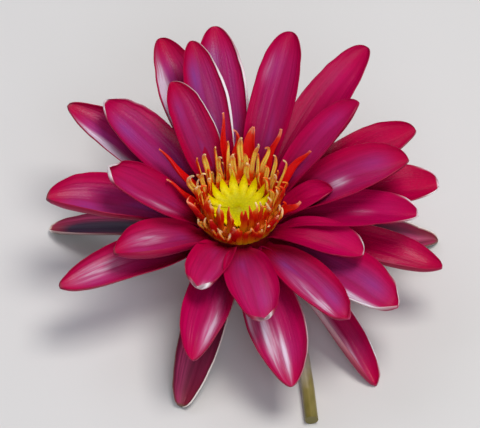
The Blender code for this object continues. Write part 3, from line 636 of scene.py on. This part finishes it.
def half_width(blade, share):
    """Half of the blade's width along its surface, at a share of its length."""
    share = min(max(share, 0.0), 1.0)
    q = share ** (math.log(0.5) / math.log(blade.peak))
    body = (4.0 * q * (1.0 - q)) ** blade.blunt
    root = ROOT_SHARE * (1.0 - share) ** ROOT_TAPER
    return max(0.5 * blade.width * max(body, root), TIP_HALF)


def slope_across(blade, share, across):
    """How steeply the blade's upper face climbs away from its middle, in radians."""
    hollow = blade.cup * (ROOT_CUP + (1.0 - ROOT_CUP) * ease(share, 0.0, ROOT_CUP_TO))
    hollow *= 1.0 + TIP_CUP * ease(share, TIP_CUP_FROM)
    out = abs(across)
    margin, lip, tuck = (
        (blade.plus, blade.lip_plus, blade.tuck_plus) if across > 0 else
        (blade.minus, blade.lip_minus, blade.tuck_minus)
    )
    rolled = ease(out, MARGIN_FROM)
    slope = hollow * out + margin * rolled * ease(share, *MARGIN_COMES)
    slope -= tuck * rolled * (1.0 - ease(share, *TUCK_GOES))
    slope += lip * ease(out, LIP_FROM) * ease(share, *LIP_COMES) * (1.0 - ease(share, *LIP_GOES))
    return math.copysign(math.radians(slope), across)


def spots(places, across, share):
    """How strong a blade's soft spots are at one place."""
    return sum(
        spot.strength * math.exp(-((across - spot.across) / spot.wide) ** 2
                                 - ((share - spot.share) / spot.long) ** 2)
        for spot in places
    )


def blade_point(blade, rows, share, across, ragged):
    """A point of the blade's upper face, and its normal."""
    k = 1
    while k < len(rows) - 1 and rows[k][0] < share:
        k += 1
    before, after = rows[k - 1], rows[k]
    mix = (share - before[0]) / (after[0] - before[0])
    place, side, normal = (before[i].lerp(after[i], mix) for i in (1, 2, 3))
    margin = ragged + math.copysign(MARGINS_APART, across)
    half = half_width(blade, share)
    half *= 1.0 + RAGGED * noise.noise(Vector((SLOW_PACE * share, margin, SLOW_LAYER)))
    half *= 1.0 + RAGGED * ease(share, *FINE_COMES) * noise.noise(Vector((FINE_PACE * share, margin, FINE_LAYER)))
    reach = climb = 0.0
    for j in range(SECTION_STEPS):
        angle = slope_across(blade, share, across * (j + 0.5) / SECTION_STEPS)
        reach += math.cos(angle) * half * across / SECTION_STEPS
        climb += math.sin(angle) * half * across / SECTION_STEPS
    facing = turned(side, normal, slope_across(blade, share, across))[1]
    return place + side * reach + normal * climb, facing.normalized()


def layer_named(layers, name):
    """A mesh's layer of that name, which is made if there is none yet."""
    return layers.get(name) or layers.new(name)


def slab(bm, across, along, crowd_rows=1.0, crowd_columns=0.0):
    """Adds a flat grid of two layers with its UV, and gives back its corners as (vertex, across, along, layer)."""
    blade_uv = layer_named(bm.loops.layers.uv, "blade")
    top = bmesh.ops.create_grid(bm, x_segments=across, y_segments=along, size=1.0)["verts"]
    faces = list(dict.fromkeys(face for vert in top for face in vert.link_faces))
    grown = bmesh.ops.extrude_face_region(bm, geom=faces)["geom"]
    layers = {vert: 0 for vert in top}
    layers.update({thing: 1 for thing in grown if isinstance(thing, bmesh.types.BMVert)})
    flat = {}
    for vert in layers:
        x = vert.co.x
        flat[vert] = (x * (1.0 + crowd_columns * (1.0 - x * x)), 1.0 - (0.5 - 0.5 * vert.co.y) ** crowd_rows)
    for face in {face for vert in layers for face in vert.link_faces}:
        face.material_index = 0 if all(layers[vert] == 0 for vert in face.verts) else 1
        for loop in face.loops:
            u, v = flat[loop.vert]
            loop[blade_uv].uv = (0.5 + 0.5 * u, v)
    return [(vert, *flat[vert], layer) for vert, layer in layers.items()]


def chance(drift, across, share, grain):
    """Soft noise at a place on a blade."""
    return noise.noise(drift + Vector((grain.across * across, grain.along * share, grain.layer)))


def add_blade(bm, blade, whorl, draw):
    """Adds a blade: its upper face follows the bloom's form, with soft lengthwise folds and a waved rim."""
    rows = spine(blade, whorl)
    first = rows[0][0]
    phase, wave, turns = draw.uniform(*FOLD_PHASES), draw.uniform(*FOLD_PHASES), draw.uniform(*MARGIN_TURNS)
    tint = draw.random()
    shade, violet, satin, fleck, rim = (
        layer_named(bm.verts.layers.float, name) for name in ("tint", "violet", "satin", "fleck", "rim")
    )
    drift = Vector((draw.uniform(*DRIFTS), draw.uniform(*DRIFTS), 0.0))
    for vert, across, along, layer in slab(bm, whorl.across, whorl.along, ROWS_CROWD, COLUMNS_CROWD):
        share = first + (1.0 - first) * along
        out = abs(across)
        point, normal = blade_point(blade, rows, share, across, drift.x)
        body = ease(share, 0.0, RELIEF_TO) * (1.0 - RELIEF_WEAKER * ease(share, RELIEF_WEAKER_FROM))
        folds = math.cos(EVEN_FOLDS * across + phase)
        folds += CHANCE_FOLDS * chance(drift, across, share, FOLD_GRAIN)
        folds += MARGIN_WAVES * out * out * math.sin(math.tau * turns * share + wave)
        relief = whorl.folds * body * folds - spots(blade.creases, across, share)
        relief += RIB * body * math.cos(RIBS * across + RIB_WANDER * chance(drift, across, share, RIB_GRAIN))
        relief += blade.fleck * CRUMPLE * ease(share, CRUMPLE_FROM) * chance(drift, across, share, CRUMPLE_GRAIN)
        thick = (whorl.thick - whorl.rim) * (1.0 - out ** MARGIN_THINS)
        thick = whorl.rim + thick * (1.0 - TIP_THINNER * ease(share, TIP_THINNER_FROM))
        place = point + normal * (relief - thick * layer)
        place.z = max(place.z, FLOOR)
        vert.co = place
        vert[shade] = tint
        # The violet of a petal's middle is partly its own colour and partly a painted reflection of blue sky.
        upper = ease(share, *VIOLET_COMES) * (1.0 - ease(share, *VIOLET_GOES))
        vert[violet] = blade.violet * upper * (1.0 - ease(out, *VIOLET_FADES))
        # Painted highlights, weaker at the margin.
        vert[satin] = spots(blade.satin, across, share) * (1.0 - PAINTED_HIGHLIGHT_WEAKER * ease(out, *PAINTED_HIGHLIGHT_WEAKENS))
        vert[fleck] = blade.fleck * ease(share, *FLECK_COMES)
        margin = min(half_width(blade, share) * (1.0 - out), blade.length * (1.0 - share))
        # The pale rim: partly its own pale edge, partly painted glints.
        vert[rim] = spots(blade.rims, across, share) * (1.0 - ease(margin, RIM_WIDE[layer], RIM_GONE[layer]))


def strap_frames(place, strap):
    """Points up a strap that leans outward, each with its side and its outward normal."""
    points, frames = [place], []
    for k in range(STRAP_STEPS):
        share = (k + 0.5) / STRAP_STEPS
        lean = strap.lean_root + (strap.lean_tip - strap.lean_root) * share
        tilt = math.radians(lean - strap.hook * ease(share, STAMEN_HOOK_FROM))
        heading = strap.heading + strap.sway * share * share
        ahead = round_place(heading, math.sin(tilt), math.cos(tilt))
        side = round_place(heading + 90.0)
        frames.append((side, side.cross(ahead)))
        points.append(points[-1] + ahead * (strap.length / STRAP_STEPS))
    return points, frames


def strap_at(points, frames, share):
    """The point, side and normal at a share of a strap's length."""
    place = share * STRAP_STEPS
    k = min(int(place), STRAP_STEPS - 1)
    return points[k].lerp(points[k + 1], place - k), *frames[k]


def add_stamen(bm, place, strap, draw):
    """Adds a stamen: a flat filament, waved and twisted, with two long anther lobes inside and a curled tip."""
    points, frames = strap_frames(place, strap)
    wave, phase, pace = draw.uniform(*WAVES), draw.uniform(*WAVE_PHASES), draw.uniform(*WAVE_PACES)
    twist = math.radians(draw.uniform(*TWISTS))
    full_width, lurch = STAMEN_WIDTH * draw.uniform(*WIDTHS), draw.uniform(*LURCHES)
    tint = draw.random()
    shade = layer_named(bm.verts.layers.float, "tint")
    for vert, across, along, layer in slab(bm, *STAMEN_GRID):
        centre, side, normal = strap_at(points, frames, along)
        side, normal = turned(side, normal, twist * along)
        tip = ease(along, STAMEN_TIP_FROM)
        centre = centre + side * (wave * along * math.sin(pace * along + phase) + lurch * tip)
        width = full_width * (1.0 - STAMEN_TAPER * along - STAMEN_TIP * tip)
        thick = STAMEN_RIM + STAMEN_MIDDLE * (1.0 - across * across)
        bulge = math.sin(math.pi * min(max((abs(across) - LOBE_FROM) / LOBE_WIDE, 0.0), 1.0)) ** 2
        lobe = LOBE * bulge * ease(along, *LOBES_COME) * (1.0 - ease(along, *LOBES_GO))
        depth = -(0.5 * thick + lobe) if layer == 0 else 0.5 * thick
        vert.co = centre + side * (0.5 * width * across) + normal * (depth - STAMEN_HOLLOW * across * across)
        vert[shade] = tint


def link_mesh(name, bm, materials):
    """Turns a bmesh into an object in the scene."""
    mesh = bpy.data.meshes.new(name)
    bm.to_mesh(mesh)
    bm.free()
    for made in materials:
        mesh.materials.append(made)
    return link_object(name, mesh)


def place_piece(name, bm, materials, node):
    """Turns a bmesh in millimetres into a finished piece that stands for a node of the frame."""
    bmesh.ops.scale(bm, vec=(MM, MM, MM), verts=bm.verts)
    bmesh.ops.translate(bm, vec=BLOOM, verts=bm.verts)
    bmesh.ops.recalc_face_normals(bm, faces=bm.faces)
    piece = link_mesh(name, bm, materials)
    piece.data.shade_smooth()
    piece.data.set_sharp_from_angle(angle=math.radians(SHARP))
    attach(piece, "root")
    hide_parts(node)
    return piece


def blades_piece(name, blades, whorl, materials, node, seed):
    """One whorl's blades as one piece."""
    bm = bmesh.new()
    draw = random.Random(seed)
    for blade in blades:
        add_blade(bm, blade, whorl, draw)
    return place_piece(name, bm, materials, node)


def turned_piece(name, outline, materials, node):
    """A body turned round the bloom's axis."""
    bm = bmesh.new()
    rim = [bm.verts.new((radius, 0.0, height)) for radius, height in outline]
    for first, second in zip(rim, rim[1:]):
        bm.edges.new((first, second))
    if outline[0][0] > 0:
        bm.edges.new((rim[-1], rim[0]))
    bmesh.ops.spin(bm, geom=bm.verts[:] + bm.edges[:], cent=(0, 0, 0), axis=(0, 0, 1), dvec=(0, 0, 0),
                   angle=math.tau, steps=TURNED_SIDES, use_merge=True, use_duplicate=False)
    bmesh.ops.remove_doubles(bm, verts=bm.verts, dist=WELD)
    bm.loops.layers.uv.new("blade")
    return place_piece(name, bm, materials, node)


def front_lean(heading, ring):
    """How much less a stamen leans out at the front of the bloom, in degrees."""
    return (ring.lean_root - LEAST_LEAN) * ease(-math.sin(math.radians(heading)), 0.0, FRONT_TO)


def stamen_piece(materials):
    """The crown of stamens: three rings of them, and the short ones at its foot."""
    bm = bmesh.new()
    draw = random.Random(STAMEN_SEED)
    straps = []
    for ring in STAMEN_RINGS:
        for k in range(ring.count):
            heading = 360.0 * k / ring.count + draw.uniform(-1, 1) * SCATTER_HEADING
            lean = draw.uniform(-1, 1) * SCATTER_LEAN - front_lean(heading, ring)
            length = ring.length * (1.0 + draw.uniform(-1, 1) * SCATTER_LENGTH)
            hook = ring.hook + draw.uniform(-1, 1) * SCATTER_HOOK
            sway = draw.uniform(-1, 1) * SCATTER_SWAY
            strap = Strap(heading, ring.lean_root + lean, ring.lean_tip + lean, length, hook, sway)
            straps.append((round_place(heading, ring.radius, STAMEN_ROOT), strap))
    for place, strap in straps:
        add_stamen(bm, place, strap, draw)
    for k in range(FOOT_COUNT):
        heading = 360.0 * (k + 0.5) / FOOT_COUNT + draw.uniform(*FOOT_HEADINGS)
        lean = draw.uniform(*FOOT_LEANS)
        length, hook, sway = draw.uniform(*FOOT_LENGTHS), draw.uniform(*FOOT_HOOKS), draw.uniform(*FOOT_SWAYS)
        strap = Strap(heading, lean, lean - FOOT_UPRIGHT, length, hook, sway)
        add_stamen(bm, round_place(heading, FOOT_RADIUS, FOOT_ROOT), strap, draw)
    return place_piece("stamen_crown", bm, materials, "stamens")


def disc_profile(reach):
    """Radius and height of the stigma disc's skin, a way out from its middle: a shallow bowl, then the rays."""
    if reach <= RAY_ROOT_RADIUS:
        boss = BOSS * (1.0 - ease(reach, 0.0, BOSS_RADIUS))
        return reach, BOWL_LOW + BOWL_RISE * (reach / RAY_ROOT_RADIUS) ** 2 + boss
    radius, height = RAY_ROOT_RADIUS, BOWL_LOW + BOWL_RISE
    step = (reach - RAY_ROOT_RADIUS) / RAY_STEPS
    for k in range(RAY_STEPS):
        out = (k + 0.5) * step
        lean = RAY_LEAN_ROOT + (RAY_LEAN_TIP - RAY_LEAN_ROOT) * out / RAY_LENGTH
        tilt = math.radians(lean + RAY_FOOT_LEAN * (1.0 - ease(out, 0.0, RAY_FOOT)))
        radius += math.sin(tilt) * step
        height += math.cos(tilt) * step
    return radius, height


def star_piece(materials):
    """The stigma's skin: a disc of ridges that run from its middle out into pointed rays."""
    bm = bmesh.new()
    draw = random.Random(STAR_SEED)
    lengths = [RAY_LENGTH * (1.0 if k % 2 == 0 else RAY_SHORTER) * draw.uniform(*RAY_LENGTHS) for k in range(RAYS)]
    ridge_light_layer = layer_named(bm.verts.layers.float, "painted_ridge_light")
    for vert, around, along, layer in slab(bm, *STAR_GRID):
        place = RAYS * 0.5 * (1.0 + around)
        # The small number keeps a vertex between two rays on the same ray however it is rounded.
        ray = lengths[int(place + 0.001) % RAYS]
        across = abs(place % 1.0 * 2.0 - 1.0)
        outer = RAY_ROOT_RADIUS + ray * (1.0 - min(1.0, across)) ** RAY_POINT
        radius, height = disc_profile(STAR_HOLE + (outer - STAR_HOLE) * along)
        height += RIDGE * (1.0 - across * across) * ease(radius, *RIDGES_COME) - STAR_THICK * layer
        vert.co = round_place(180.0 * around, radius, height)
        # How much painted light a ridge gets; none in the furrows.
        vert[ridge_light_layer] = (1.0 - across) * ease(radius, *RIDGES_COME)
    bmesh.ops.remove_doubles(bm, verts=bm.verts, dist=WELD)
    return place_piece("stigma_star", bm, materials, "stigma_disc")


def stem_path():
    """Points down the stem, smooth through the points of its line."""
    knots = [Vector(place) for place in STEM_LINE]
    before = Vector((knots[1].x, knots[1].y, 2.0 * knots[0].z - knots[1].z))
    after = knots[-1] * 2.0 - knots[-2]
    knots = [before] + knots + [after]
    points = []
    for k in range(1, len(knots) - 2):
        a, b, c, d = knots[k - 1:k + 3]
        for j in range(STEM_STEPS):
            x = j / STEM_STEPS
            point = 0.5 * (2.0 * b + (c - a) * x + (2.0 * a - 5.0 * b + 4.0 * c - d) * x * x
                           + (3.0 * b - a - 3.0 * c + d) * x ** 3)
            point.z = max(point.z, STEM_LEVEL)
            points.append(point)
    points.append(knots[-2])
    return points


def stem_piece(materials):
    """The stalk: a grid rolled into a tube along the stem's line."""
    points = stem_path()
    last = len(points) - 1
    bm = bmesh.new()
    blade_uv = layer_named(bm.loops.layers.uv, "blade")
    verts = bmesh.ops.create_grid(bm, x_segments=STEM_SIDES, y_segments=last, size=1.0)["verts"]
    for face in bm.faces:
        for loop in face.loops:
            loop[blade_uv].uv = (0.5 + 0.5 * loop.vert.co.x, 0.5 + 0.5 * loop.vert.co.y)
    for vert in verts:
        turn = math.pi * vert.co.x
        k = round((0.5 + 0.5 * vert.co.y) * last)
        ahead = (points[min(k + 1, last)] - points[max(k - 1, 0)]).normalized()
        side = Vector((ahead.y, -ahead.x, 0.0)).normalized()
        # The top end is cut level, against the calyx cup.
        if k == 0:
            ahead = Vector((0.0, 0.0, -1.0))
        vert.co = points[k] + (side * math.cos(turn) + ahead.cross(side) * math.sin(turn)) * STEM_RADIUS
    bmesh.ops.remove_doubles(bm, verts=bm.verts, dist=WELD)
    bmesh.ops.holes_fill(bm, edges=[edge for edge in bm.edges if edge.is_boundary], sides=0)
    return place_piece("stalk", bm, materials, "stem")


petal_materials = (petal_skin(), petal_back())
sepal_materials = (sepal_skin(), sepal_back())
blades_piece("inner_petals", INNER_PETALS, INNER, petal_materials, "petals", seed=3)
blades_piece("middle_petals", MIDDLE_PETALS, MIDDLE, petal_materials, "petals", seed=4)
blades_piece("outer_petals", OUTER_PETALS, OUTER, petal_materials, "petals", seed=5)
crimson = flesh_skin("receptacle_skin", "#5A000C", "#8A0418")
turned_piece("receptacle", RECEPTACLE, (crimson,), "petals")
blades_piece("sepal_blades", SEPALS, CALYX_WHORL, sepal_materials, "sepals", seed=6)
turned_piece("calyx_cup", CALYX_CUP, (sepal_materials[1],), "sepals")

scarlet = strap_skin("petaloid_skin", (
    (0.0, "#C80408"), (0.4, "#D8060A"), (0.8, "#E01410"), (0.93, "#E8341C"), (1.0, "#F4906C"),
))
blades_piece("petaloid_blades", PETALOIDS, PETALOID_WHORL, (scarlet, scarlet), "petaloid_stamens",
             seed=7)
golden = flesh_skin("filament_foot_skin", "#C83404", "#E88404")
turned_piece("petaloid_ring", PETALOID_RING, (golden,), "petaloid_stamens")

anther_side = strap_skin("stamen_inner_skin", (
    (0.0, "#E02804"), (0.3, "#F05004"), (0.5, "#F87010"), (0.86, "#FA8420"), (0.95, "#FCC070"), (1.0, "#FFE8C0"),
), lobes="#FFDE60")
filament_side = strap_skin("stamen_outer_skin", (
    (0.0, "#F4B010"), (0.2, "#F08008"), (0.5, "#DC1806"), (0.75, "#E83408"), (0.92, "#F89830"), (1.0, "#FFD498"),
), spread=0.5)
stamen_piece((anther_side, filament_side))
turned_piece("stamen_ring", STAMEN_RING, (golden,), "stamens")

yellow = disc_skin()
turned_piece("stigma_base", STIGMA_BASE, (yellow,), "stigma_disc")
star_piece((yellow, yellow))
stem_piece((stem_skin(),))

# A matt pale studio floor. It reaches this many metres each way.
FLOOR_REACH = 6.0
matt_floor = new_material("matt_floor", Roughness=0.8, Base_Color=linear("#DAD8D4"))[0]
flat = bmesh.new()
bmesh.ops.create_grid(flat, x_segments=1, y_segments=1, size=FLOOR_REACH)
floor = link_mesh("floor", flat, (matt_floor,))

# The camera looks down on the bloom from the front, 52 degrees above level, through a long lens.
ELEVATION = math.radians(52.0)
DISTANCE = 1200.0
SENSOR = 36.0
MM_PER_PIXEL = 0.37
IMAGE_WIDTH, IMAGE_HEIGHT = 480, 428
BLOOM_PIXEL = (238.5, 227.0)
back = Vector((0.0, -math.cos(ELEVATION), math.sin(ELEVATION)))
image_up = Vector((0.0, math.sin(ELEVATION), math.cos(ELEVATION)))
target = Vector((1.0, 0.0, 0.0)) * ((0.5 * IMAGE_WIDTH - BLOOM_PIXEL[0]) * MM_PER_PIXEL)
target += image_up * ((BLOOM_PIXEL[1] - 0.5 * IMAGE_HEIGHT) * MM_PER_PIXEL)
camera_data = bpy.data.cameras.new("camera")
camera_data.sensor_width = SENSOR
camera_data.lens = SENSOR * DISTANCE / (IMAGE_WIDTH * MM_PER_PIXEL)
camera = link_object("camera", camera_data)
camera.location = BLOOM + (target + back * DISTANCE) * MM
camera.rotation_euler = (math.radians(90.0) - ELEVATION, 0.0, 0.0)
bpy.context.scene.camera = camera


def soft_light(name, place, size, watts, colour):
    """A square area light that faces the bloom. Its place and size are in metres."""
    data = bpy.data.lights.new(name, "AREA")
    data.shape = "SQUARE"
    data.size = size
    data.energy = watts
    data.color = colour
    lamp = link_object(name, data)
    lamp.location = place
    lamp.rotation_euler = (-Vector(place)).to_track_quat("-Z", "Y").to_euler()


WARM_LIGHT, COOL_LIGHT, ROOM_LIGHT = (1.0, 0.98, 0.96), (0.82, 0.86, 1.0), (0.9, 0.92, 1.0, 1.0)
ROOM_STRENGTH = 0.24
soft_light("key", (0.3, 0.0, 1.2), size=0.5, watts=9.2, colour=WARM_LIGHT)
soft_light("sky", (-0.6, 0.8, 0.9), size=0.9, watts=4.0, colour=COOL_LIGHT)
soft_light("fill", (0.15, -0.9, 0.85), size=0.6, watts=4.0, colour=COOL_LIGHT)
world = bpy.data.worlds.new("studio")
bpy.context.scene.world = world
world.use_nodes = True
room = world.node_tree.nodes["Background"]
room.inputs["Color"].default_value = ROOM_LIGHT
room.inputs["Strength"].default_value = ROOM_STRENGTH
bpy.context.scene.view_settings.view_transform = "Standard"
